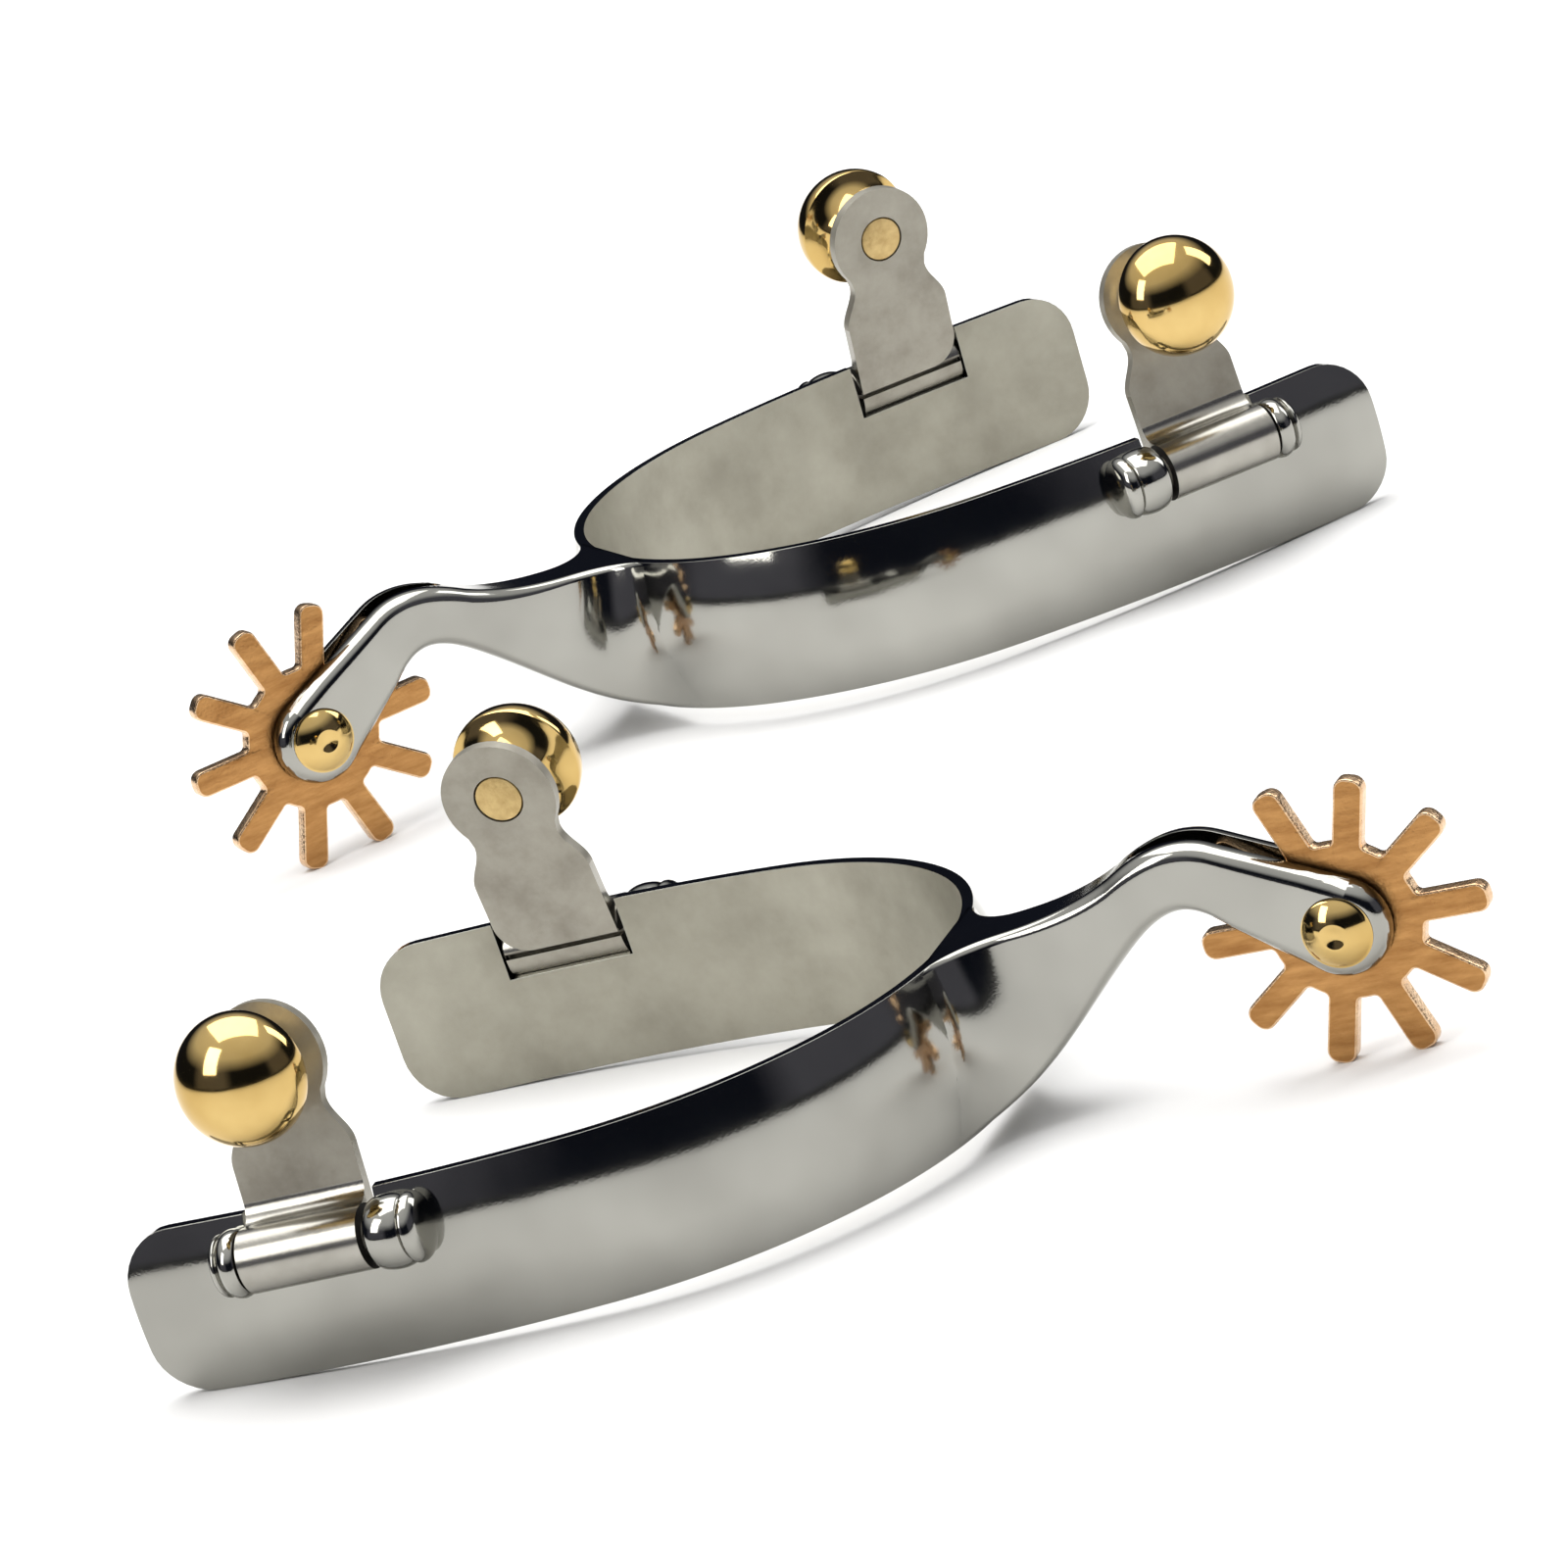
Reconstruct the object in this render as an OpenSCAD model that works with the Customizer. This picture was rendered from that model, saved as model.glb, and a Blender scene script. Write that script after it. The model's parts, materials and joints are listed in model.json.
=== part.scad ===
// A pair of Western roping spurs. Each has a U-shaped heel band, a forked gooseneck shank with a
// ten-point rowel on a riveted pin, and two hinged strap hangers that carry brass strap buttons.
// Each spur is drawn in its own frame: origin at the inside of the heel, +X to the toe,
// +Z up, and Z = 0 at the band's lower edge. The pair then stands on the floor, Z = 0.

/* [Heel band] */
// Height of the band
band_h = 22.2; // [18:0.1:26]
// Thickness at the upper and lower edges
band_edge_t = 1.5; // [1.3:0.1:2.2]
// Thickness at the middle of the crowned outer face
band_mid_t = 3.3; // [2.6:0.1:3.8]
// Inner radius round the back of the heel
heel_r = 41.3; // [36:0.1:46]
// Inner radius of each quarter
quarter_r = 50; // [46:0.5:60]
// Inner radius of each branch
branch_r = 186; // [150:1:220]
// Length of the straight end of each branch
branch_end_l = 16.6; // [14:0.1:22]
// Corner radius at the tip of a branch
tip_r = 7; // [4:0.5:9]

/* [Shank] */
// Distance from the heel to the rowel pin
shank_l = 51.5; // [48:0.5:56]
// Height of the rowel pin above the band's lower edge
pin_z = 13.7; // [12:0.1:16]
// Width of the shank
shank_w = 9; // [8:0.1:10]
// Radius of the fork's rounded end
fork_r = 6.4; // [5.5:0.1:7]
// Width of the rowel slot
slot_w = 3.2; // [3:0.1:3.6]

/* [Rowel] */
// Number of points
teeth = 10; // [8:2:12]
// Radius over the points
rowel_r = 18.95; // [17:0.05:20]
// Radius of the solid middle
rowel_root_r = 10.2; // [9:0.1:11]
// Width of one point
tooth_w = 3.8; // [3:0.1:4.2]
// Thickness
rowel_t = 2.2; // [1.8:0.1:2.4]
// Radius of the pin
rowel_pin_r = 2.4; // [2:0.1:3]
// Radius of the pin's domed heads
rivet_head_r = 4.6; // [4:0.1:5]
// Height of the pin's domed heads
rivet_head_h = 2; // [1.5:0.1:2.5]

/* [Strap hangers] */
// Distance from the heel to the middle of the hinge
hinge_x = 72.3; // [70:0.1:75]
// Height of the hinge axis
hinge_z = 17; // [16.5:0.1:17.5]
// Outer radius of the hinge barrel
barrel_r = 4.15; // [4:0.05:4.3]
// Radius of the hinge pin
hinge_pin_r = 2.5; // [2.2:0.1:2.6]
// Length of the hinge barrel
barrel_l = 16.8; // [16:0.1:17]
// Thickness of the hanger's plate
plate_t = 1.6; // [1.4:0.1:1.7]
// Height of the button's centre above the hinge axis
button_h = 23.4; // [22:0.1:25]
// Radius of the hanger's head
head_r = 7.8; // [7:0.1:8]
// Half width at the waist
waist_w = 6; // [5.5:0.1:6.5]
// Half width at the shoulders
shoulder_w = 8.3; // [8:0.1:8.4]
// Lean towards the boot at rest
lean = 8; // [0:1:12]

/* [Strap buttons] */
// Radius of the button's rim
button_r = 8.6; // [8:0.1:9]
// Distance from the plate's inner face to the rim
rim_stand = 9; // [8:0.1:10]
// Height of the dome above the rim
dome_h = 6.8; // [6:0.1:7.5]
// Radius of the stem through the plate
stem_r = 3.25; // [3:0.05:3.5]

/* [Layout of the pair] */
// Middle of the left spur, across
left_x = 23.5; // [10:0.1:40]
// Middle of the left spur, along
left_y = 100.9; // [90:0.1:130]
// Heading of the left spur's toe
left_heading = 21.5; // [0:0.1:30]
// Middle of the right spur, across
right_x = -22.6; // [-40:0.1:-10]
// Middle of the right spur, along
right_y = -123.5; // [-140:0.1:-100]
// Heading of the right spur's toe
right_heading = 156.3; // [150:0.1:180]

/* [Hidden] */

$fn = 64;
steel = [0.62, 0.62, 0.6];
satin = [0.7, 0.69, 0.64];
brass = [0.85, 0.67, 0.3];
copper = [0.72, 0.45, 0.25];

press = 0.01;      // interference of a pressed pin
running = 0.06;    // radial clearance of a turning part
gap = 0.3;         // clearance beside a moving part

// The inside of the band: three arcs that turn to these angles from the heel, then a straight.
heel_turn = 41.2;
quarter_turn = 79.55;
branch_turn = 93.1;
function next_centre(c, r1, r2, turn) = c + (r1 - r2) * [-cos(turn), sin(turn)];
heel_c = [heel_r, 0];
quarter_c = next_centre(heel_c, heel_r, quarter_r, heel_turn);
branch_c = next_centre(quarter_c, quarter_r, branch_r, quarter_turn);
branch_end = branch_c + branch_r * [-cos(branch_turn), sin(branch_turn)];
inner_y = branch_c[1] + branch_r;          // widest half width inside, at the hinges

// The crown is one arc through both edges and the middle.
crown = band_mid_t - band_edge_t;
crown_r = (pow(band_h / 2, 2) + crown * crown) / (2 * crown);
crown_steps = 8;
function crown_at(z) = band_mid_t - crown_r + sqrt(crown_r * crown_r - pow(z - band_h / 2, 2));

// The hinge: the axis lies outside the band, and the notch is longer at the heel end.
axis_out = barrel_r + 0.05;                // from the band's inner face to the hinge axis
notch_depth = 7.9;
notch_back = barrel_l / 2 + 0.9;
notch_front = barrel_l / 2 + gap;
back_knuckle_r = 4.8;
front_knuckle_r = 4.4;
pin_grip = 2.6;                            // how far the hinge pin enters each knuckle
knuckle_seat = band_edge_t + 0.1;          // from the inner face to the back of a knuckle

// Standing: each spur rests on two rowel points and on the rounded tips of its branches.
tip_x = branch_end[0] + (branch_end_l - tip_r) * sin(branch_turn);
tooth_end_r = tooth_w / 2;
rowel_half_step = 180 / teeth;
axle_height = (rowel_r - tooth_end_r) * cos(rowel_half_step) + tooth_end_r;
reach = tip_x + shank_l;
rise = pin_z - tip_r;
tilt = asin((axle_height - tip_r) / norm([reach, rise])) - atan(rise / reach);
spur_mid = 40;

function bezier(a, b, c, d, n = 10) =
    [for (i = [0:n]) let (t = i / n, s = 1 - t)
        s * s * s * a + 3 * s * s * t * b + 3 * s * t * t * c + t * t * t * d];

// ---- placing -------------------------------------------------------------------------------

module stand(x, y, heading) {
    translate([x, y, 0]) rotate([0, 0, heading])
        translate([tip_x - spur_mid, 0, tip_r]) rotate([0, tilt, 0]) translate([-tip_x, 0, -tip_r])
            children();
}
module left_spur() { stand(left_x, left_y, left_heading) children(); }
module right_spur() { stand(right_x, right_y, right_heading) children(); }

// Both branches of one spur: side is 1 or -1.
module on_branch(side) { mirror([0, side > 0 ? 0 : 1, 0]) children(); }

// The hinge frame: +X along the axis to the toe, +Y outwards, +Z up.
module at_hinge() { translate([hinge_x, inner_y + axis_out, hinge_z]) children(); }
module leaned() { at_hinge() rotate([lean, 0, 0]) children(); }

// ---- heel band -----------------------------------------------------------------------------

// One station along the inside of the band: the point, and the direction that faces outwards.
function on_arc(c, r, turn) = [c + r * [-cos(turn), sin(turn)], [-cos(turn), sin(turn)]];
branch_tip_at = branch_end + branch_end_l * [sin(branch_turn), cos(branch_turn)];
half_stations = concat(
    [for (turn = [0:3.4333:heel_turn - 1]) on_arc(heel_c, heel_r, turn)],
    [for (turn = [heel_turn:3.8349:quarter_turn - 1]) on_arc(quarter_c, quarter_r, turn)],
    [for (turn = [quarter_turn:2.7099:branch_turn]) on_arc(branch_c, branch_r, turn)],
    [[branch_tip_at, [-cos(branch_turn), sin(branch_turn)]]]);
function flipped(station) = [[station[0][0], -station[0][1]], [station[1][0], -station[1][1]]];
stations = concat([for (i = [len(half_stations) - 1:-1:1]) flipped(half_stations[i])], half_stations);

// The section is flat inside and crowned outside: [how far out, height].
section = concat([[0, band_h], [0, 0]],
    [for (i = [0:crown_steps]) let (z = band_h * i / crown_steps) [crown_at(z), z]]);
module swept_band() {
    m = len(section);
    last = len(stations) - 1;
    points = [for (st = stations, q = section) let (p = st[0] + q[0] * st[1]) [p[0], p[1], q[1]]];
    sides = [for (i = [0:last - 1], j = [0:m - 1])
        let (k = (j + 1) % m, a = i * m + j, b = i * m + k, c = a + m, d = b + m)
            each [[a, b, d], [a, d, c]]];
    polyhedron(points, concat(sides,
        [[for (j = [m - 1:-1:0]) j]], [[for (j = [0:m - 1]) last * m + j]]));
}
module tip_corner() {
    translate([-tip_r, -2, -tip_r]) difference() {
        cube([tip_r + 1, band_mid_t + 4, tip_r + 1]);
        rotate([-90, 0, 0]) translate([0, 0, -1]) cylinder(h = band_mid_t + 6, r = tip_r);
    }
}
module tip_corners() {
    translate([branch_tip_at[0], branch_tip_at[1], 0]) rotate([0, 0, 90 - branch_turn]) {
        translate([0, 0, band_h]) tip_corner();
        mirror([0, 0, 1]) tip_corner();
    }
}
// A knuckle turned about the hinge axis: a bulb, then a short collar with a rounded end.
module knuckle(bulb_r, bulb_l, collar_r, collar_l) {
    edge = 0.8;
    bulb = [for (i = [0:8]) let (a = 180 * i / 8)
        [bulb_r - edge + edge * sin(a), bulb_l * (1 - cos(a)) / 2]];
    collar = [for (i = [1:6]) let (a = 90 * i / 6)
        [collar_r * cos(a), bulb_l + collar_l * sin(a)]];
    rotate([0, -90, 0]) rotate_extrude() polygon(concat([[0, 0]], bulb, collar));
}
// Two knuckles on one axis, each let into the band's outer face by the crown's depth.
module hinge_knuckles() {
    color(steel) at_hinge() difference() {
        union() {
            translate([-notch_back, 0, 0]) knuckle(back_knuckle_r, 4.8, 4.5, 2.4);
            translate([notch_front, 0, 0]) mirror([1, 0, 0]) knuckle(front_knuckle_r, 2.6, 4.1, 1.6);
        }
        translate([-30, -axis_out - 20 + knuckle_seat, -20]) cube([60, 20, 40]);
        pin_bore();
    }
}
module pin_bore() {
    translate([-notch_back - pin_grip, 0, 0]) rotate([0, 90, 0])
        cylinder(h = notch_back + notch_front + 2 * pin_grip, r = hinge_pin_r - press);
}
// The notch, and a groove under the barrel so that it can turn.
module hinge_cuts() {
    translate([-notch_back, -axis_out - 3, band_h - notch_depth - hinge_z])
        cube([notch_back + notch_front, axis_out + 12, 20]);
    translate([-notch_back, 0, 0]) rotate([0, 90, 0])
        cylinder(h = notch_back + notch_front, r = barrel_r + gap);
    pin_bore();
}
module heel_band() {
    color(satin) difference() {
        swept_band();
        for (side = [-1, 1]) on_branch(side) {
            at_hinge() hinge_cuts();
            tip_corners();
        }
    }
}

// ---- shank ---------------------------------------------------------------------------------

arm_top = 118.5;      // direction of the arm's upper edge normal
arm_under = -55;      // direction of its lower edge normal
module shank_side() {
    polygon(concat(
        bezier([2, band_h], [-8, band_h], [-17, 22.8], [-24, 26.2]),
        bezier([-24, 26.2], [-28.5, 28.6], [-33.5, 30], [-38, 27.8]),
        [for (a = [arm_top:10.8125:360 + arm_under])
            [-shank_l, pin_z] + fork_r * [cos(a), sin(a)]],
        bezier([-38.5, 16.3], [-34.5, 20.6], [-31.5, 22.2], [-24.5, 16.8]),
        bezier([-24.5, 16.8], [-17, 11.2], [-9, 2.4], [-1.5, 0]),
        [[2, 0]]));
}
module shank_plan() {
    flare = bezier([-17, shank_w / 2], [-9, shank_w / 2], [-4.5, 7.5], [-1.5, 15]);
    half = concat([[-shank_l - 10, shank_w / 2]], flare, [[4, 15]]);
    polygon(concat(half, [for (i = [len(half) - 1:-1:0]) [half[i][0], -half[i][1]]]));
}
module band_room() {
    translate([heel_r, 0, 0]) rotate_extrude($fn = 180)
        polygon(concat([[0, band_h + 5], [0, -5], [heel_r + band_edge_t, -5]],
            [for (i = [0:crown_steps]) let (z = band_h * i / crown_steps)
                [heel_r + crown_at(z), z]],
            [[heel_r + band_edge_t, band_h + 5]]));
}
module shank() {
    slot_end = -28;
    color(steel) difference() {
        intersection() {
            translate([0, 20, 0]) rotate([90, 0, 0]) linear_extrude(40) shank_side();
            translate([0, 0, -2]) linear_extrude(40) shank_plan();
        }
        band_room();
        translate([-shank_l - 15, -slot_w / 2, -5]) cube([shank_l + 15 + slot_end, slot_w, 45]);
        translate([slot_end, 0, -5]) cylinder(h = 45, r = slot_w / 2);
        translate([-shank_l, 10, pin_z]) rotate([90, 0, 0]) cylinder(h = 20, r = rowel_pin_r - press);
    }
}

// ---- rowel and its pin ---------------------------------------------------------------------

module at_axle() { translate([-shank_l, 0, pin_z]) rotate([90, 0, 0]) children(); }
module rowel() {
    color(copper) at_axle() rotate([0, 0, tilt]) difference() {
        union() {
            cylinder(h = rowel_t, r = rowel_root_r, center = true);
            for (i = [0:teeth - 1]) rotate([0, 0, -90 + rowel_half_step + i * 360 / teeth]) {
                translate([0, -tooth_w / 2, -rowel_t / 2])
                    cube([rowel_r - tooth_end_r, tooth_w, rowel_t]);
                translate([rowel_r - tooth_end_r, 0, 0])
                    cylinder(h = rowel_t, r = tooth_end_r, center = true);
            }
        }
        cylinder(h = rowel_t + 2, r = rowel_pin_r + running, center = true);
    }
}
module rivet_head() {
    dome_r = (pow(rivet_head_r, 2) + pow(rivet_head_h, 2)) / (2 * rivet_head_h);
    dimple_r = 3.2;
    dimple_depth = 0.4;
    difference() {
        intersection() {
            translate([0, 0, rivet_head_h - dome_r]) sphere(r = dome_r);
            cylinder(h = rivet_head_h + 1, r = rivet_head_r + 1);
        }
        translate([0, 0, rivet_head_h - dimple_depth + dimple_r]) sphere(r = dimple_r);
    }
}
module rowel_pin() {
    color(brass) at_axle() {
        cylinder(h = shank_w, r = rowel_pin_r, center = true);
        translate([0, 0, shank_w / 2]) rivet_head();
        mirror([0, 0, 1]) translate([0, 0, shank_w / 2]) rivet_head();
    }
}

// ---- strap hangers -------------------------------------------------------------------------

// Half width of the plate, from the barrel up to where the round head takes over.
plate_foot = 1;
shoulder_h = 11.5;
waist_h = button_h - 6;
function plate_half(h) = h < shoulder_h ? shoulder_w
    : waist_w + (shoulder_w - waist_w) * (1 + cos(180 * (h - shoulder_h) / (waist_h - shoulder_h))) / 2;
module plate_outline() {
    heights = [plate_foot, for (i = [0:10]) shoulder_h + (waist_h - shoulder_h) * i / 10];
    side = concat([for (h = heights) [plate_half(h), h]], [[waist_w, button_h - 4.5]]);
    polygon(concat(side, [for (i = [len(side) - 1:-1:0]) [-side[i][0], side[i][1]]]));
    translate([0, button_h]) circle(r = head_r);
}
// Cross-section of the rolled barrel with its bend into the plate: X outwards, Y up.
module barrel_section() {
    bend_r = 2.5;
    bend_x = -barrel_r + plate_t + bend_r;
    bend_y = sqrt(pow(barrel_r + bend_r, 2) - bend_x * bend_x);
    difference() {
        union() {
            circle(r = barrel_r);
            translate([-barrel_r, 0]) square([barrel_r, bend_y]);
        }
        translate([bend_x, bend_y]) circle(r = bend_r);
        circle(r = hinge_pin_r + running);
        // the seam where the rolled sheet meets the plate
        translate([-barrel_r - 1, 0.5]) square([1.9, 0.4]);
    }
}
// What the rounded toe-side corner takes off the plate and its bend, but not off the barrel.
module toe_corner() {
    corner_r = 4.4;
    corner_x = shoulder_w - corner_r + 0.15;
    corner_h = plate_foot + corner_r - 0.15;
    difference() {
        translate([corner_x, 0, corner_h]) rotate([90, 0, 0]) linear_extrude(20, center = true)
            difference() {
                translate([0, plate_foot - corner_h]) square([10, corner_h - plate_foot]);
                circle(r = corner_r);
            }
        rotate([0, 90, 0]) cylinder(h = 3 * barrel_l, r = barrel_r - 0.05, center = true);
    }
}
module hanger() {
    color(satin) leaned() difference() {
        union() {
            translate([-barrel_l / 2, 0, 0]) rotate([90, 0, 90])
                linear_extrude(barrel_l) barrel_section();
            translate([0, -barrel_r + plate_t, 0]) rotate([90, 0, 0])
                linear_extrude(plate_t) plate_outline();
        }
        toe_corner();
        translate([0, 0, button_h]) rotate([90, 0, 0])
            cylinder(h = 20, r = stem_r - press, center = true);
        translate([-barrel_l, 0, 0]) rotate([0, 90, 0])
            cylinder(h = 2 * barrel_l, r = hinge_pin_r + running);
    }
}
module hinge_pin() {
    color(steel) at_hinge() translate([-notch_back - pin_grip, 0, 0]) rotate([0, 90, 0])
        cylinder(h = notch_back + notch_front + 2 * pin_grip, r = hinge_pin_r);
}

// ---- strap buttons -------------------------------------------------------------------------

// Half section: X is the radius, Y runs outwards from the plate's inner face.
module button_section() {
    neck_r = 4;
    rim_t = 0.9;
    flare_turn = 75;
    flare = [for (i = [0:8]) let (a = flare_turn * i / 8)
        [neck_r + (button_r - 0.4 - neck_r) * (1 - cos(a)) / (1 - cos(flare_turn)),
         plate_t + (rim_stand - rim_t - plate_t) * sin(a) / sin(flare_turn)]];
    dome = [for (i = [0:12]) let (a = 90 * i / 12)
        [button_r * cos(a), rim_stand + dome_h * sin(a)]];
    polygon(concat([[0, 0], [stem_r, 0], [stem_r, plate_t]], flare,
        [[button_r, rim_stand - rim_t / 2]], dome));
}
module button() {
    color(brass) leaned() translate([0, -barrel_r, button_h]) rotate([-90, 0, 0])
        rotate_extrude() button_section();
}

// ---- the pair ------------------------------------------------------------------------------

left_spur() heel_band();  // left_heel_band
left_spur() shank();  // left_shank
left_spur() rowel();  // left_rowel
left_spur() rowel_pin();  // left_rowel_pin
left_spur() on_branch(1) hinge_knuckles();  // left_outer_hinge_knuckles
left_spur() on_branch(1) hinge_pin();  // left_outer_hinge_pin
left_spur() on_branch(1) hanger();  // left_outer_hanger
left_spur() on_branch(1) button();  // left_outer_button
left_spur() on_branch(-1) hinge_knuckles();  // left_inner_hinge_knuckles
left_spur() on_branch(-1) hinge_pin();  // left_inner_hinge_pin
left_spur() on_branch(-1) hanger();  // left_inner_hanger
left_spur() on_branch(-1) button();  // left_inner_button
right_spur() heel_band();  // right_heel_band
right_spur() shank();  // right_shank
right_spur() rowel();  // right_rowel
right_spur() rowel_pin();  // right_rowel_pin
right_spur() on_branch(-1) hinge_knuckles();  // right_outer_hinge_knuckles
right_spur() on_branch(-1) hinge_pin();  // right_outer_hinge_pin
right_spur() on_branch(-1) hanger();  // right_outer_hanger
right_spur() on_branch(-1) button();  // right_outer_button
right_spur() on_branch(1) hinge_knuckles();  // right_inner_hinge_knuckles
right_spur() on_branch(1) hinge_pin();  // right_inner_hinge_pin
right_spur() on_branch(1) hanger();  // right_inner_hanger
right_spur() on_branch(1) button();  // right_inner_button
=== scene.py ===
"""Looks for a pair of Western spurs. Each spur is built in its own axes, in millimetres
(origin inside the heel at the band's lower edge, X to the toe, Y across, Z up), and is then
set into the row frame with the joints' own positions."""
import json
import math

import bmesh
import bpy
from mathutils import Matrix, Vector

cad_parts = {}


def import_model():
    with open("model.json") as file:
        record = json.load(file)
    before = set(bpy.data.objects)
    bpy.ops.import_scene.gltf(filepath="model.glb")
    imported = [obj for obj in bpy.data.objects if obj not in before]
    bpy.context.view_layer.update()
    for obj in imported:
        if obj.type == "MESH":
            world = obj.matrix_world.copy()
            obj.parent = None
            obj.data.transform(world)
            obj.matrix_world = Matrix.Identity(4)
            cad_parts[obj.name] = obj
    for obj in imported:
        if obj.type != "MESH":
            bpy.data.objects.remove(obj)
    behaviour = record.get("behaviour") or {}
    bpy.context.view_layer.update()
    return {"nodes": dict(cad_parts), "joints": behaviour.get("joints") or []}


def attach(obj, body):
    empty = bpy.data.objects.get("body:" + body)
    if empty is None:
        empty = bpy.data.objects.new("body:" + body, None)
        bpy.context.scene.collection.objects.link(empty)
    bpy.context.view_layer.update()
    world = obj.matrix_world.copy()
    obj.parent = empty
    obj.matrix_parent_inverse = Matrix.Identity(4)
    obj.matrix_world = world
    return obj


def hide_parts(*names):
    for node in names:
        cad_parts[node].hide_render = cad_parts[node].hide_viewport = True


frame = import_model()
JOINTS = {joint["name"]: joint for joint in frame["joints"]}
MM = 0.001

# ---- sizes in millimetres, the same as the part's ---------------------------------------------

BAND_H, BAND_EDGE_T, BAND_MID_T = 22.2, 1.5, 3.3
HEEL_R, QUARTER_R, BRANCH_R = 41.3, 50.0, 186.0
HEEL_TURN, QUARTER_TURN, BRANCH_TURN = (math.radians(a) for a in (41.2, 79.55, 93.1))
BRANCH_END_L, TIP_R = 16.6, 7.0
SHANK_L, PIN_Z, SHANK_W, FORK_R = 51.5, 13.7, 9.0, 6.4
SLOT_W, SLOT_END = 3.2, -28.0
TEETH, ROWEL_R, ROWEL_ROOT_R, TOOTH_W, ROWEL_T = 10, 18.95, 10.2, 3.8, 2.2
ROWEL_PIN_R, RIVET_HEAD_R, RIVET_HEAD_H = 2.4, 4.6, 2.0
HINGE_X, HINGE_Z, BARREL_R, BARREL_L = 72.3, 17.0, 4.15, 16.8
HINGE_BORE_R, AXIS_OUT, NOTCH_DEPTH = 2.56, 4.2, 7.9
NOTCH_BACK, NOTCH_FRONT = BARREL_L / 2 + 0.9, BARREL_L / 2 + 0.3
PLATE_T, BUTTON_H, HEAD_R, WAIST_W, SHOULDER_W = 1.6, 23.4, 7.8, 6.0, 8.3
BUTTON_R, RIM_STAND, DOME_H, STEM_R = 8.6, 9.0, 6.8, 3.25
LEAN = math.radians(8)
# bulb radius and length, collar radius and length, of the knuckle at the heel side and the toe side
BACK_KNUCKLE, FRONT_KNUCKLE = (4.8, 4.8, 4.55, 2.2), (4.4, 2.6, 4.0, 1.4)
PLATE_FOOT, TOE_CORNER, BEND_R = 1.2, 4.4, 2.5       # of the hanger plate, above the hinge axis
SHOULDER_TOP, WAIST_BOTTOM = 11.5, BUTTON_H - 6      # heights where the plate starts and stops narrowing


# ---- shared geometry --------------------------------------------------------------------------

def spur_matrix(spur):
    """The spur's own axes in the row frame, with millimetres turned to metres."""
    spin = JOINTS[spur + "_rowel_spin"]
    axle = Vector(spin["pos_m"])
    across = Vector(spin["axis"]).normalized()
    hinges = [Vector(JOINTS[f"{spur}_{side}_hanger_swing"]["pos_m"]) for side in ("outer", "inner")]
    toe = Vector(JOINTS[f"{spur}_outer_hanger_swing"]["axis"]).normalized()
    if toe.dot((hinges[0] + hinges[1]) / 2 - axle) < 0:
        toe = -toe
    up = toe.cross(across)
    origin = axle + toe * SHANK_L * MM - up * PIN_Z * MM
    turn = Matrix((toe, across, up)).transposed().to_4x4()
    return Matrix.Translation(origin) @ turn @ Matrix.Scale(MM, 4)


def side_of(spur, side):
    """1 where that hanger is on the spur's +Y branch, -1 on its -Y branch."""
    at = spur_matrix(spur).inverted() @ Vector(JOINTS[f"{spur}_{side}_hanger_swing"]["pos_m"])
    return 1 if at.y > 0 else -1


def bezier(a, b, c, d, n):
    points = []
    for i in range(n + 1):
        t = i / n
        s = 1 - t
        points.append(tuple(s * s * s * p + 3 * s * s * t * q + 3 * s * t * t * r + t * t * t * w
                            for p, q, r, w in zip(a, b, c, d)))
    return points


def arc(cx, cy, r, start, end, n):
    """n + 1 points on a circle, angles in degrees."""
    turns = [math.radians(start + (end - start) * i / n) for i in range(n + 1)]
    return [(cx + r * math.cos(a), cy + r * math.sin(a)) for a in turns]


def spread(start, end, n):
    return [start + (end - start) * i / n for i in range(n + 1)]


def finish_piece(name, bm, matrix, body, replaced, materials, sharp=35):
    """Turns a mesh in spur millimetres into a piece that rides on a body."""
    bmesh.ops.remove_doubles(bm, verts=bm.verts, dist=0.002)
    bm.transform(matrix)
    bmesh.ops.recalc_face_normals(bm, faces=bm.faces)
    for face in bm.faces:
        face.smooth = True
    for edge in bm.edges:
        if len(edge.link_faces) == 2 and edge.calc_face_angle(0) > math.radians(sharp):
            edge.smooth = False
    mesh = bpy.data.meshes.new(name)
    bm.to_mesh(mesh)
    bm.free()
    piece = bpy.data.objects.new(name, mesh)
    bpy.context.scene.collection.objects.link(piece)
    for material in materials:
        mesh.materials.append(material)
    weighted = piece.modifiers.new("normals", "WEIGHTED_NORMAL")
    weighted.keep_sharp = True
    weighted.weight = 60
    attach(piece, body)
    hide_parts(*replaced)


def grid_faces(bm, rows, closed_across=False, closed_along=False, material=0):
    """Joins rows of vertices with quads."""
    for near, far in zip(rows, rows[1:] + ([rows[0]] if closed_along else [])):
        count = len(near) if closed_across else len(near) - 1
        for j in range(count):
            k = (j + 1) % len(near)
            quad = [near[j], near[k], far[k], far[j]]
            quad = [v for i, v in enumerate(quad) if v not in quad[:i]]
            if len(quad) > 2:
                bm.faces.new(quad).material_index = material


def lathe(profile, steps=64):
    """Turns (radius, distance) points about the Z axis; a radius of 0 closes the end."""
    bm = bmesh.new()
    rows = []
    for i in range(steps):
        a = 2 * math.pi * i / steps
        rows.append([bm.verts.new((r * math.cos(a), r * math.sin(a), d)) for r, d in profile])
    grid_faces(bm, rows, closed_along=True)
    bmesh.ops.remove_doubles(bm, verts=bm.verts, dist=0.0005)
    return bm


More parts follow.
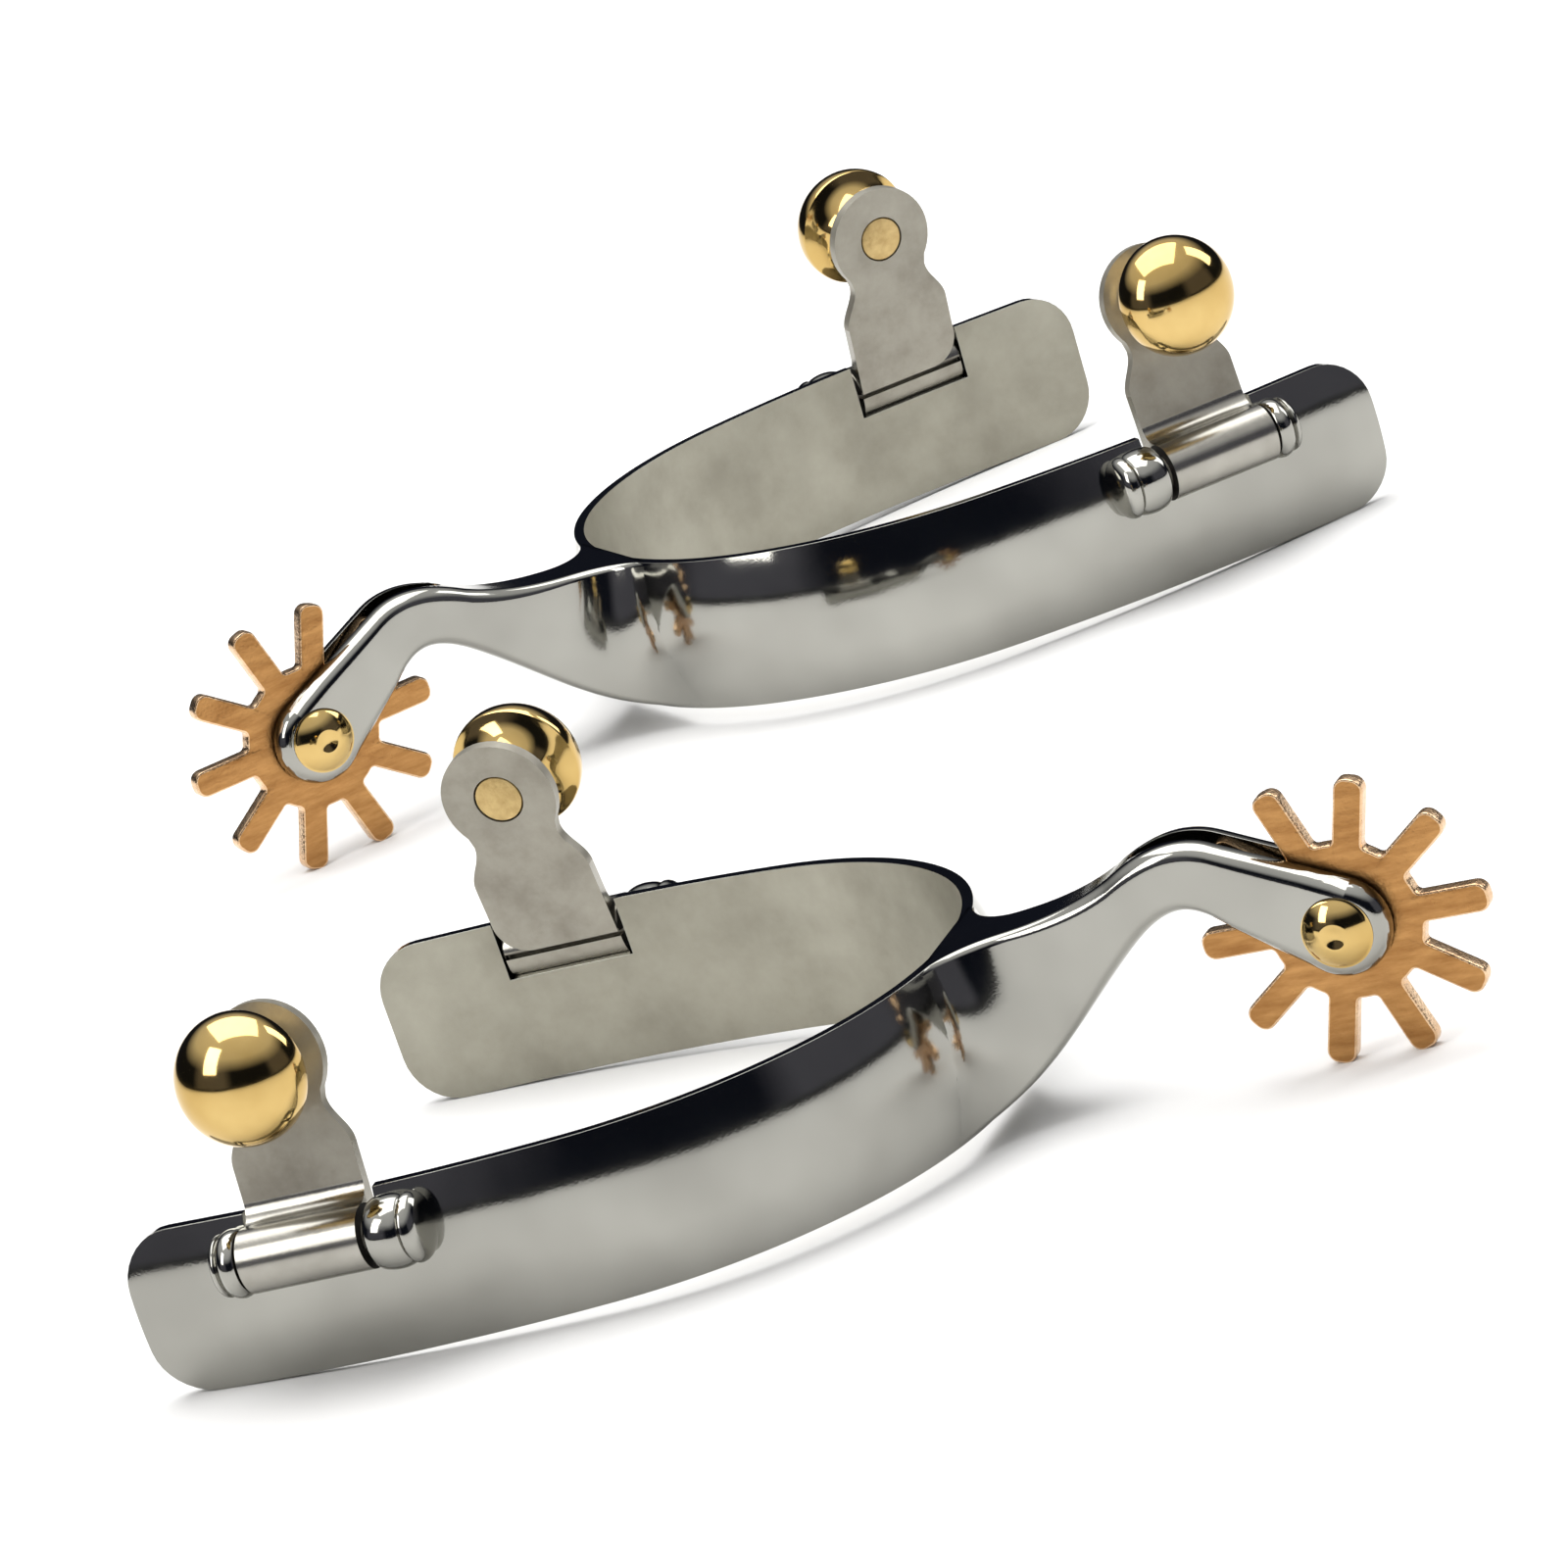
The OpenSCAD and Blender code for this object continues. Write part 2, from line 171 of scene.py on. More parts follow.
def prism(outline, thickness):
    """A plate from a 2D outline in XY, from Z = 0 to Z = thickness."""
    bm = bmesh.new()
    face = bm.faces.new([bm.verts.new((x, y, 0)) for x, y in outline])
    lifted = bmesh.ops.extrude_face_region(bm, geom=[face])["geom"]
    bmesh.ops.translate(bm, vec=(0, 0, thickness),
                        verts=[v for v in lifted if isinstance(v, bmesh.types.BMVert)])
    bmesh.ops.recalc_face_normals(bm, faces=bm.faces)
    return bm


def boolean(bm, other, operation):
    """bm combined with other, by Blender's exact boolean."""
    objects = []
    for part in (bm, other):
        bmesh.ops.recalc_face_normals(part, faces=part.faces)
        mesh = bpy.data.meshes.new("boolean")
        part.to_mesh(mesh)
        part.free()
        objects.append(bpy.data.objects.new("boolean", mesh))
        bpy.context.scene.collection.objects.link(objects[-1])
    modifier = objects[0].modifiers.new("boolean", "BOOLEAN")
    modifier.operation, modifier.solver, modifier.object = operation, "EXACT", objects[1]
    bpy.context.view_layer.update()
    result = objects[0].evaluated_get(bpy.context.evaluated_depsgraph_get())
    out = bmesh.new()
    out.from_mesh(result.to_mesh())
    for item in objects:
        mesh = item.data
        bpy.data.objects.remove(item)
        bpy.data.meshes.remove(mesh)
    return out


def bevel_where(bm, width, segments, chosen, angle=30):
    """Rounds the sharp edges that chosen() accepts."""
    edges = [e for e in bm.edges if len(e.link_faces) == 2
             and e.calc_face_angle(0) > math.radians(angle) and chosen(e)]
    bmesh.ops.bevel(bm, geom=edges, offset=width, segments=segments, profile=0.5,
                    affect="EDGES", clamp_overlap=True)


# ---- the heel band ----------------------------------------------------------------------------

def next_centre(centre, r1, r2, turn):
    return centre + (r1 - r2) * Vector((-math.cos(turn), math.sin(turn)))


HEEL_C = Vector((HEEL_R, 0))
QUARTER_C = next_centre(HEEL_C, HEEL_R, QUARTER_R, HEEL_TURN)
BRANCH_C = next_centre(QUARTER_C, QUARTER_R, BRANCH_R, QUARTER_TURN)
INNER_Y = BRANCH_C.y + BRANCH_R
HEEL_L = HEEL_R * HEEL_TURN
QUARTER_L = QUARTER_R * (QUARTER_TURN - HEEL_TURN)
BRANCH_L = BRANCH_R * (BRANCH_TURN - QUARTER_TURN)
HALF_L = HEEL_L + QUARTER_L + BRANCH_L + BRANCH_END_L
HINGE_S = HEEL_L + QUARTER_L + BRANCH_R * (math.pi / 2 - QUARTER_TURN) + HINGE_X - BRANCH_C.x


def band_station(s):
    """The inner face's point and outward normal, s millimetres round from the heel."""
    side = 1 if s >= 0 else -1
    s = abs(s)
    if s <= HEEL_L:
        centre, r, turn = HEEL_C, HEEL_R, s / HEEL_R
    elif s <= HEEL_L + QUARTER_L:
        centre, r, turn = QUARTER_C, QUARTER_R, HEEL_TURN + (s - HEEL_L) / QUARTER_R
    else:
        turn = min(QUARTER_TURN + (s - HEEL_L - QUARTER_L) / BRANCH_R, BRANCH_TURN)
        centre, r = BRANCH_C, BRANCH_R
    normal = Vector((-math.cos(turn), math.sin(turn)))
    point = centre + r * normal
    straight = s - (HALF_L - BRANCH_END_L)
    if straight > 0:
        point += straight * Vector((math.sin(turn), math.cos(turn)))
    return Vector((point.x, side * point.y)), Vector((normal.x, side * normal.y))


def crown(z):
    """Thickness of the band at height z."""
    rise = BAND_MID_T - BAND_EDGE_T
    r = ((BAND_H / 2) ** 2 + rise * rise) / (2 * rise)
    return BAND_MID_T - r + math.sqrt(r * r - (z - BAND_H / 2) ** 2)


def heel_band():
    bm = bmesh.new()
    half = []
    marks = [0, HEEL_L, HEEL_L + QUARTER_L, HINGE_S - NOTCH_BACK, HINGE_S + NOTCH_FRONT,
             HALF_L - TIP_R]
    for start, end in zip(marks, marks[1:]):
        half += spread(start, end, max(2, round((end - start) / 1.6)))[:-1]
    half += [HALF_L - TIP_R * (1 - math.sin(math.radians(a))) for a in range(0, 91, 10)]
    columns = [-s for s in reversed(half[1:])] + half
    notch_z = BAND_H - NOTCH_DEPTH
    levels = spread(0, notch_z / BAND_H, 9)[:-1] + spread(notch_z / BAND_H, 1, 6)
    inner, outer = [], []
    for s in columns:
        point, normal = band_station(s)
        over = max(0, abs(s) - (HALF_L - TIP_R))
        cut = TIP_R - math.sqrt(max(0, TIP_R ** 2 - over ** 2))
        heights = [cut + v * (BAND_H - 2 * cut) for v in levels]
        inner.append([bm.verts.new((*point, z)) for z in heights])
        outer.append([bm.verts.new((*(point + normal * crown(z)), z)) for z in heights])
    grid_faces(bm, inner, material=1)
    grid_faces(bm, outer)
    notch = []
    for face in bm.faces:
        at = face.calc_center_median()
        if at.z > notch_z and HINGE_X - NOTCH_BACK < at.x < HINGE_X + NOTCH_FRONT:
            notch.append(face)
    bmesh.ops.delete(bm, geom=notch, context="FACES")
    pair = {}
    for row_in, row_out in zip(inner, outer):
        for a, b in zip(row_in, row_out):
            if a.is_valid and b.is_valid:
                pair[a] = b
    rims = [e for e in bm.edges if len(e.link_faces) == 1 and e.verts[0] in pair]
    for edge in rims:
        a, b = edge.verts
        bm.faces.new((a, b, pair[b], pair[a]))
    bmesh.ops.delete(bm, geom=[v for v in bm.verts if not v.link_faces], context="VERTS")
    bmesh.ops.recalc_face_normals(bm, faces=bm.faces)
    bevel_where(bm, 0.55, 3, lambda e: True, angle=50)
    return bm


# ---- the shank --------------------------------------------------------------------------------

ARM_TOP, ARM_UNDER = 118.5, 305.0      # directions of the arm's upper and lower edge normals
ARM_AXIS = (ARM_TOP + ARM_UNDER) / 2
EDGE_ROUND, ROOT_ROUND = 2.1, 0.6      # rounding of the shank's edges, and at its root
SINK = 0.5                             # how far the root goes into the band


def root_fillet(z):
    """The fillet in plan between the shank's flank and the band at height z: centre and radius."""
    r = 9 + 7 * (1 - min(1, max(0, z / BAND_H)))
    band = HEEL_R + crown(min(BAND_H, max(0, z)))
    y = SHANK_W / 2 + r
    return HEEL_R - math.sqrt((band + r) ** 2 - y * y), y, r, band / (band + r)


def shank_half(x, z):
    """Half width of the shank at a point of its side view."""
    cx, cy, r, share = root_fillet(z)
    if x < cx:
        return SHANK_W / 2
    return min(cy - math.sqrt(max(0, r * r - (x - cx) ** 2)), cy * share)


def root_end(z):
    cx, _, _, share = root_fillet(z)
    return HEEL_R - (HEEL_R - cx) * share


def shank_ring(bm, top, under, rounding, pull):
    """One ring round the section between two points of the side view, (x, z)."""
    top, under = Vector(top), Vector(under)
    length = (top - under).length
    angles = spread(0, 90, 6)
    depths = [rounding * (1 - math.cos(math.radians(a))) for a in angles]
    share = [min(0.5, d / max(length, 0.001)) for d in depths]
    flat = [share[-1] + (1 - 2 * share[-1]) * t / 8 for t in range(1, 8)]
    side = []
    for v in share + flat + [1 - w for w in reversed(share)]:
        x, z = top + v * (under - top)
        x += pull * (root_end(z) - (-1.5 + 0.9 * (1 - v)))
        depth = min(v, 1 - v) * length
        if x < -SHANK_L:
            depth = min(depth, FORK_R - math.hypot(x + SHANK_L, z - PIN_Z))
        inset = rounding - math.sqrt(max(0, rounding ** 2 - max(0, rounding - depth) ** 2))
        side.append((x, shank_half(x, z) - inset, z))
    return ([bm.verts.new(p) for p in side]
            + [bm.verts.new((x, -y, z)) for x, y, z in reversed(side)])


def shank():
    pin = Vector((-SHANK_L, PIN_Z))
    rows = []
    for step in range(1, 29):
        turn = (ARM_UNDER - ARM_TOP) / 2 * math.sin(math.radians(90 * step / 28))
        ends = [pin + FORK_R * Vector((math.cos(math.radians(a)), math.sin(math.radians(a))))
                for a in (ARM_AXIS - turn, ARM_AXIS + turn)]
        rows.append((*ends, EDGE_ROUND, 0))
    elbow = Vector((-38, 27.8)), Vector((-38.5, 16.3))
    rows += [(ends[0].lerp(elbow[0], t / 9), ends[1].lerp(elbow[1], t / 9), EDGE_ROUND, 0)
             for t in range(1, 9)]
    rows += [(top, under, EDGE_ROUND, 0) for top, under in zip(
        bezier((-38, 27.8), (-33.5, 30), (-28.5, 28.6), (-24, 26.2), 18),
        bezier((-38.5, 16.3), (-34.5, 20.6), (-31.5, 22.2), (-24.5, 16.8), 18))]
    steps = 44
    root = zip(bezier((-24, 26.2), (-17, 22.8), (-8, BAND_H), (-0.6, BAND_H), steps),
               bezier((-24.5, 16.8), (-17, 11.2), (-9, 2.4), (-1.5, 0), steps))
    for i, (top, under) in list(enumerate(root))[1:]:
        t = i / steps
        rows.append((top, under, EDGE_ROUND + (ROOT_ROUND - EDGE_ROUND) * t, t ** 4))
    bm = bmesh.new()
    rings = [shank_ring(bm, *row) for row in rows]
    sunk = []
    for vertex in rings[-1]:
        inward = (Vector((HEEL_R, 0)) - vertex.co.xy).normalized() * SINK
        sunk.append(bm.verts.new(vertex.co + Vector((*inward, 0))))
    rings.append(sunk)
    grid_faces(bm, rings, closed_across=True)
    bm.faces.new(rings[0])
    bm.faces.new(rings[-1])
    slot = prism([(-70, -SLOT_W / 2), (SLOT_END, -SLOT_W / 2)]
                 + arc(SLOT_END, 0, SLOT_W / 2, -80, 80, 8)
                 + [(SLOT_END, SLOT_W / 2), (-70, SLOT_W / 2)], 50)
    bmesh.ops.translate(slot, vec=(0, 0, -5), verts=slot.verts)
    bm = boolean(bm, slot, "DIFFERENCE")
    wall = SLOT_W / 2 + 0.02
    bevel_where(bm, 0.3, 2, lambda e: all(abs(v.co.y) < wall for v in e.verts)
                and e.verts[0].co.x < SLOT_END + 2, angle=50)
    return bm


# ---- the rowel and its pin --------------------------------------------------------------------

def rowel_outline():
    """One closed outline: rounded tips, straight sides, and small fillets at the roots."""
    half_w, fillet, corner = TOOTH_W / 2, 0.7, 1.5
    root_turn = math.degrees(math.asin((half_w + fillet) / (ROWEL_ROOT_R + fillet)))
    outline = []
    for tooth in range(TEETH):
        turn = Matrix.Rotation(2 * math.pi * (tooth + 0.5) / TEETH - math.pi / 2, 2)
        side = []
        fx = math.sqrt((ROWEL_ROOT_R + fillet) ** 2 - (half_w + fillet) ** 2)
        side += arc(fx, -(half_w + fillet), fillet, 180 - root_turn, 90, 4)
        side += [(fx + (ROWEL_R - corner - fx) * t / 5, -half_w) for t in range(1, 5)]
        side += arc(ROWEL_R - corner, -(half_w - corner), corner, -90, 0, 5)
        side += [(x, -y) for x, y in reversed(side)]
        outline += [tuple(turn @ Vector(p)) for p in side]
        gap = 360 / TEETH / 2 - root_turn
        middle = 360 * (tooth + 1) / TEETH - 90
        outline += arc(0, 0, ROWEL_ROOT_R, middle - gap, middle + gap, 5)[1:-1]
    return outline


def rowel():
    bm = bmesh.new()
    outline = rowel_outline()
    sheets = []
    for z in (-ROWEL_T / 2, ROWEL_T / 2):
        rings = []
        for share in (0, 0.5, 1):
            ring = []
            for x, y in outline:
                reach = math.hypot(x, y)
                r = ROWEL_PIN_R + 0.1 + share * (reach - ROWEL_PIN_R - 0.1)
                ring.append(bm.verts.new((x / reach * r, y / reach * r, z)))
            rings.append(ring)
        grid_faces(bm, rings, closed_across=True)
        sheets.append(rings)
    # The side walls, both the hub hole's and the teeth's, take material 1, the paler bronze of the
    # painted edge highlight.
    for ring in (0, 2):
        grid_faces(bm, [sheets[0][ring], sheets[1][ring]], closed_across=True, material=1)
    bmesh.ops.recalc_face_normals(bm, faces=bm.faces)
    inner = ROWEL_ROOT_R - 0.5
    bevel_where(bm, 0.28, 2, lambda e: all(v.co.xy.length > inner for v in e.verts), angle=60)
    # Every face that does not lie flat on the rowel's sides, the bevels included, takes the same painted
    # highlight material.
    for face in bm.faces:
        if abs(face.normal.z) < 0.95:
            face.material_index = 1
    return bm


def rowel_pin():
    dome = (RIVET_HEAD_R ** 2 + RIVET_HEAD_H ** 2) / (2 * RIVET_HEAD_H)
    edge = math.degrees(math.asin(RIVET_HEAD_R / dome))
    half = SHANK_W / 2
    rim = 1.75         # radius of the dished mark that the riveting tool leaves
    start = math.degrees(math.asin((rim + 0.2) / dome))
    head = [(x, half + RIVET_HEAD_H - dome + z)
            for z, x in arc(0, 0, dome, start, edge * 0.94, 14)]
    dimple = [(rim * t, half + RIVET_HEAD_H - 0.2 - 0.4 * math.cos(math.pi / 2 * t) ** 1.5)
              for t in (0, 0.25, 0.5, 0.7, 0.85, 0.95)]
    side = dimple + head + [(RIVET_HEAD_R, half + 0.18), (RIVET_HEAD_R, half + 0.02),
                            (ROWEL_PIN_R, half), (ROWEL_PIN_R, 0)]
    return lathe(side + [(r, -d) for r, d in reversed(side[:-1])])


# ---- the hinge and the hanger -----------------------------------------------------------------

def hinge_frame(branch):
    """X along the hinge axis to the toe, Y outwards, Z up; mirrored on the -Y branch."""
    flip = Matrix.Diagonal((1, branch, 1, 1))
    return flip @ Matrix.Translation((HINGE_X, INNER_Y + AXIS_OUT, HINGE_Z))


def leaned(branch):
    return hinge_frame(branch) @ Matrix.Rotation(LEAN, 4, "X")


def knuckle(bulb_r, bulb_l, collar_r, collar_l):
    """A turned knuckle that starts at X = 0 and runs towards -X, sunk into the band."""
    edge = 0.9
    bulb = [(bulb_r - edge + edge * math.sin(a), bulb_l * (1 - math.cos(a)) / 2)
            for a in (math.pi * i / 16 for i in range(17))]
    ridge = bulb_l + 0.45
    collar = [(collar_r - 0.3, bulb_l + 0.12), (collar_r - 0.02, ridge - 0.1)]
    length = bulb_l + collar_l + 0.2
    collar += [(collar_r * math.cos(a) ** 0.6, ridge + (length - ridge) * math.sin(a))
               for a in (math.pi / 2 * i / 14 for i in range(14))]
    bm = lathe([(0, 0), (HINGE_BORE_R, 0)] + bulb + collar + [(0, length)], 64)
    bm.transform(Matrix.Rotation(-math.pi / 2, 4, "Y"))
    sunk = BAND_EDGE_T * 0.6 - AXIS_OUT
    for vertex in bm.verts:
        vertex.co.y = max(vertex.co.y, sunk)
    # The end face at X = 0, which faces the gap beside the barrel, takes material 1, a painted shade for
    # the gap.
    for face in bm.faces:
        face.material_index = int(face.calc_center_median().x > -0.02)
    return bm


def hinge_knuckles():
    bm = knuckle(*BACK_KNUCKLE)
    bmesh.ops.translate(bm, vec=(-NOTCH_BACK, 0, 0), verts=bm.verts)
    other = knuckle(*FRONT_KNUCKLE)
    other.transform(Matrix.Translation((NOTCH_FRONT, 0, 0)) @ Matrix.Diagonal((-1, 1, 1, 1)))
    mesh = bpy.data.meshes.new("knuckle")
    other.to_mesh(mesh)
    other.free()
    bm.from_mesh(mesh)
    bpy.data.meshes.remove(mesh)
    return bm


def plate_half(h):
    """Half width of the plate, from its shoulder up to its waist."""
    share = (h - SHOULDER_TOP) / (WAIST_BOTTOM - SHOULDER_TOP)
    return WAIST_W + (SHOULDER_W - WAIST_W) * (1 + math.cos(math.pi * share)) / 2


def across(outline, half_l):
    """A prism along X from an outline in the (Y, Z) plane."""
    bm = prism(outline, 2 * half_l)
    bm.transform(Matrix.Translation((-half_l, 0, 0))
                 @ Matrix(((0, 0, 1, 0), (1, 0, 0, 0), (0, 1, 0, 0), (0, 0, 0, 1))))
    return bm


def hanger():
    """The plate and its rolled barrel: X along the hinge, Y outwards, Z up from the axis."""
    inner, half = -BARREL_R, BARREL_L / 2
    # the outline in (X, Z): square at the heel side, a rounded corner at the toe side
    side = [(plate_half(h), h) for h in spread(SHOULDER_TOP, WAIST_BOTTOM, 10)]
    start = math.degrees(math.asin(-4.6 / HEAD_R))
    outline = arc(SHOULDER_W - TOE_CORNER, PLATE_FOOT + TOE_CORNER, TOE_CORNER, -90, 0, 12) + side
    outline += arc(0, BUTTON_H, HEAD_R, start, 180 - start, 36)
    outline += [(-x, h) for x, h in reversed(side)] + [(-SHOULDER_W, PLATE_FOOT)]
    sheet = prism(outline, 12)
    sheet.transform(Matrix.Translation((0, inner + 12, 0)) @ Matrix.Rotation(math.pi / 2, 4, "X"))
    # the section in (Y, Z): the plate, and the bend that carries it over onto the barrel
    bend_y = inner + PLATE_T + BEND_R
    bend_z = math.sqrt((BARREL_R + BEND_R) ** 2 - bend_y ** 2)
    touch = math.degrees(math.atan2(bend_z, bend_y))
    section = [(inner, 1), (inner, 40), (inner + PLATE_T, 40)]
    section += arc(bend_y, bend_z, BEND_R, 180, touch + 180, 12)
    section += arc(0, 0, BARREL_R - 0.05, touch, 150, 10)[1:] + [(-3.2, 1)]
    sheet = boolean(sheet, across(section, half), "INTERSECT")
    roll = across(arc(0, 0, BARREL_R, -187, 163, 84) + arc(0, 0, HINGE_BORE_R, 163, -187, 48), half)
    bm = boolean(sheet, roll, "UNION")
    hole = lathe([(0, -10), (STEM_R + 0.12, -10), (STEM_R + 0.12, 10), (0, 10)], 48)
    hole.transform(Matrix.Translation((0, 0, BUTTON_H)) @ Matrix.Rotation(math.pi / 2, 4, "X"))
    bm = boolean(bm, hole, "DIFFERENCE")
    bmesh.ops.dissolve_limit(bm, angle_limit=0.002, verts=bm.verts, edges=bm.edges)
    bevel_where(bm, 0.28, 3, lambda e: e.calc_length() > 0.05, angle=50)
    for face in bm.faces:
        at = face.calc_center_median()
        face.material_index = 1 if at.z < bend_z and at.y > inner + 0.3 else 0
        # The barrel's end faces take material 2, a near-black painted shade for the hinge gaps.
        if abs(at.x) > half - 0.02 and at.z < BARREL_R:
            face.material_index = 2
    return bm


def button():
    """The strap button, from its riveted end to its dome, along Z."""
    neck_r, rim_t, turn = 4.0, 0.9, math.radians(75)
    flare = [(neck_r + (BUTTON_R - 0.4 - neck_r) * (1 - math.cos(a)) / (1 - math.cos(turn)),
              PLATE_T + (RIM_STAND - rim_t - PLATE_T) * math.sin(a) / math.sin(turn))
             for a in (turn * i / 16 for i in range(17))]
    rim = [(BUTTON_R - 0.12, RIM_STAND - rim_t + 0.12), (BUTTON_R, RIM_STAND - rim_t + 0.35)]
    dome = [(BUTTON_R * math.cos(a), RIM_STAND + DOME_H * math.sin(a))
            for a in (math.pi / 2 * i / 24 for i in range(25))]
    stem = [(0, 0.0), (STEM_R - 0.5, 0.0), (STEM_R - 0.15, 0.08), (STEM_R, 0.3), (STEM_R, PLATE_T)]
    bm = lathe(stem + flare + rim + dome, 72)
    for face in bm.faces:
        if face.calc_center_median().z < PLATE_T:
            face.material_index = 1
    return bm


# ---- materials --------------------------------------------------------------------------------

class Nodes:
    """A small helper that adds shader nodes to one material."""

    def __init__(self, name):
        self.material = bpy.data.materials.new(name)
        self.material.use_nodes = True
        self.tree = self.material.node_tree
        self.shader = self.tree.nodes["Principled BSDF"]
        self.place = self.add("ShaderNodeTexCoord").outputs["Object"]

    def add(self, kind, **values):
        node = self.tree.nodes.new(kind)
        for key, value in values.items():
            setattr(node, key, value)
        return node

    def link(self, output, socket):
        self.tree.links.new(output, socket)

    def noise(self, scale, detail=3.0, roughness=0.5, stretch=None):
        node = self.add("ShaderNodeTexNoise")
        node.inputs["Scale"].default_value = scale
        node.inputs["Detail"].default_value = detail
        node.inputs["Roughness"].default_value = roughness
        source = self.place
        if stretch:
            mapping = self.add("ShaderNodeMapping")
            mapping.inputs["Scale"].default_value = stretch
            self.link(self.place, mapping.inputs["Vector"])
            source = mapping.outputs["Vector"]
        self.link(source, node.inputs["Vector"])
        return node.outputs["Fac"]

    def ramp(self, source, stops):
        node = self.add("ShaderNodeValToRGB")
        ramp = node.color_ramp
        while len(ramp.elements) < len(stops):
            ramp.elements.new(0.5)
        for element, (at, colour) in zip(ramp.elements, stops):
            element.position = at
            element.color = (*colour, 1)
        self.link(source, node.inputs["Fac"])
        return node.outputs["Color"]

    def span(self, source, low, high):
        node = self.add("ShaderNodeMapRange")
        node.inputs["To Min"].default_value = low
        node.inputs["To Max"].default_value = high
        self.link(source, node.inputs["Value"])
        return node.outputs["Result"]

    def bump(self, source, strength, distance, before=None):
        node = self.add("ShaderNodeBump")
        node.inputs["Strength"].default_value = strength
        node.inputs["Distance"].default_value = distance
        self.link(source, node.inputs["Height"])
        if before:
            self.link(before, node.inputs["Normal"])
        return node.outputs["Normal"]


def metal(name, patches, colours, rough_scale, rough, bumps, metallic=1.0):
    """A metal with cloudy colour, cloudy roughness and one or two layers of fine relief."""
    n = Nodes(name)
    n.shader.inputs["Metallic"].default_value = metallic
    stops = [(0.3 + 0.42 * i / (len(colours) - 1), c) for i, c in enumerate(colours)]
    n.link(n.ramp(n.noise(*patches), stops), n.shader.inputs["Base Color"])
    n.link(n.span(n.noise(rough_scale, 4, 0.6), *rough), n.shader.inputs["Roughness"])
    normal = None
    for scale, strength, depth in bumps:
        normal = n.bump(n.noise(scale, 2), strength, depth, normal)
    n.link(normal, n.shader.inputs["Normal"])
    return n.material


def polished_steel():
    return metal("polished_steel", (60, 2), [(0.30, 0.295, 0.268), (0.37, 0.365, 0.333)],
                 220, (0.05, 0.12), [(55, 0.25, 0.0006), (2600, 0.04, 0.0001)])


def satin_steel():
    return metal("satin_steel", (75, 5, 0.6),
                 [(0.28, 0.265, 0.215), (0.345, 0.33, 0.27), (0.40, 0.385, 0.32)],
                 160, (0.34, 0.50), [(5200, 0.16, 0.0001), (420, 0.12, 0.0003)])


def hanger_steel():
    return metal("hanger_steel", (110, 5, 0.65),
                 [(0.24, 0.22, 0.18), (0.32, 0.30, 0.25), (0.38, 0.36, 0.305)],
                 300, (0.34, 0.46), [(3800, 0.10, 0.0001), (650, 0.10, 0.0002)], 0.6)


def barrel_steel():
    return metal("barrel_steel", (110, 5, 0.65), [(0.30, 0.288, 0.255), (0.40, 0.385, 0.345)],
                 300, (0.17, 0.26), [(3800, 0.08, 0.0001)])


def brass():
    return metal("polished_brass", (120, 3), [(0.52, 0.35, 0.12), (0.63, 0.45, 0.18)],
                 300, (0.05, 0.12), [(150, 0.12, 0.0004)])


def peened_brass():
    return metal("peened_brass", (700, 3), [(0.44, 0.31, 0.13), (0.58, 0.43, 0.20)],
                 900, (0.34, 0.5), [(1500, 0.3, 0.0003)])


def rowel_bronze(name, dark, light, rough):
    return metal(name, (700, 4, 0.65, (0.2, 0.2, 1)), [dark, light], 500,
                 (rough - 0.08, rough + 0.1), [(2300, 0.3, 0.0002), (300, 0.2, 0.0003)])


# Near-black steel that paints the shade in the hinge gaps: it goes on the knuckles' and the barrel's end
# faces so that the gaps read black.
def gap_shade_paint():
    return metal("painted_gap_shade", (300, 3), [(0.03, 0.028, 0.026), (0.06, 0.056, 0.05)],
                 300, (0.5, 0.65), [(1800, 0.2, 0.0002)])


STEEL, SATIN = polished_steel(), satin_steel()
HANGER, BARREL, GAP_SHADE_PAINT = hanger_steel(), barrel_steel(), gap_shade_paint()
BRASS, PEENED = brass(), peened_brass()
BRONZE = rowel_bronze("rowel_bronze", (0.30, 0.14, 0.045), (0.50, 0.265, 0.095), 0.30)
# A much paler bronze for the rowel's side walls and bevels: a painted highlight along the edges.
BRONZE_EDGE_HIGHLIGHT_PAINT = rowel_bronze("rowel_bronze_painted_edge_highlight", (0.62, 0.38, 0.2), (0.85, 0.62, 0.4), 0.25)


# ---- the pair ---------------------------------------------------------------------------------

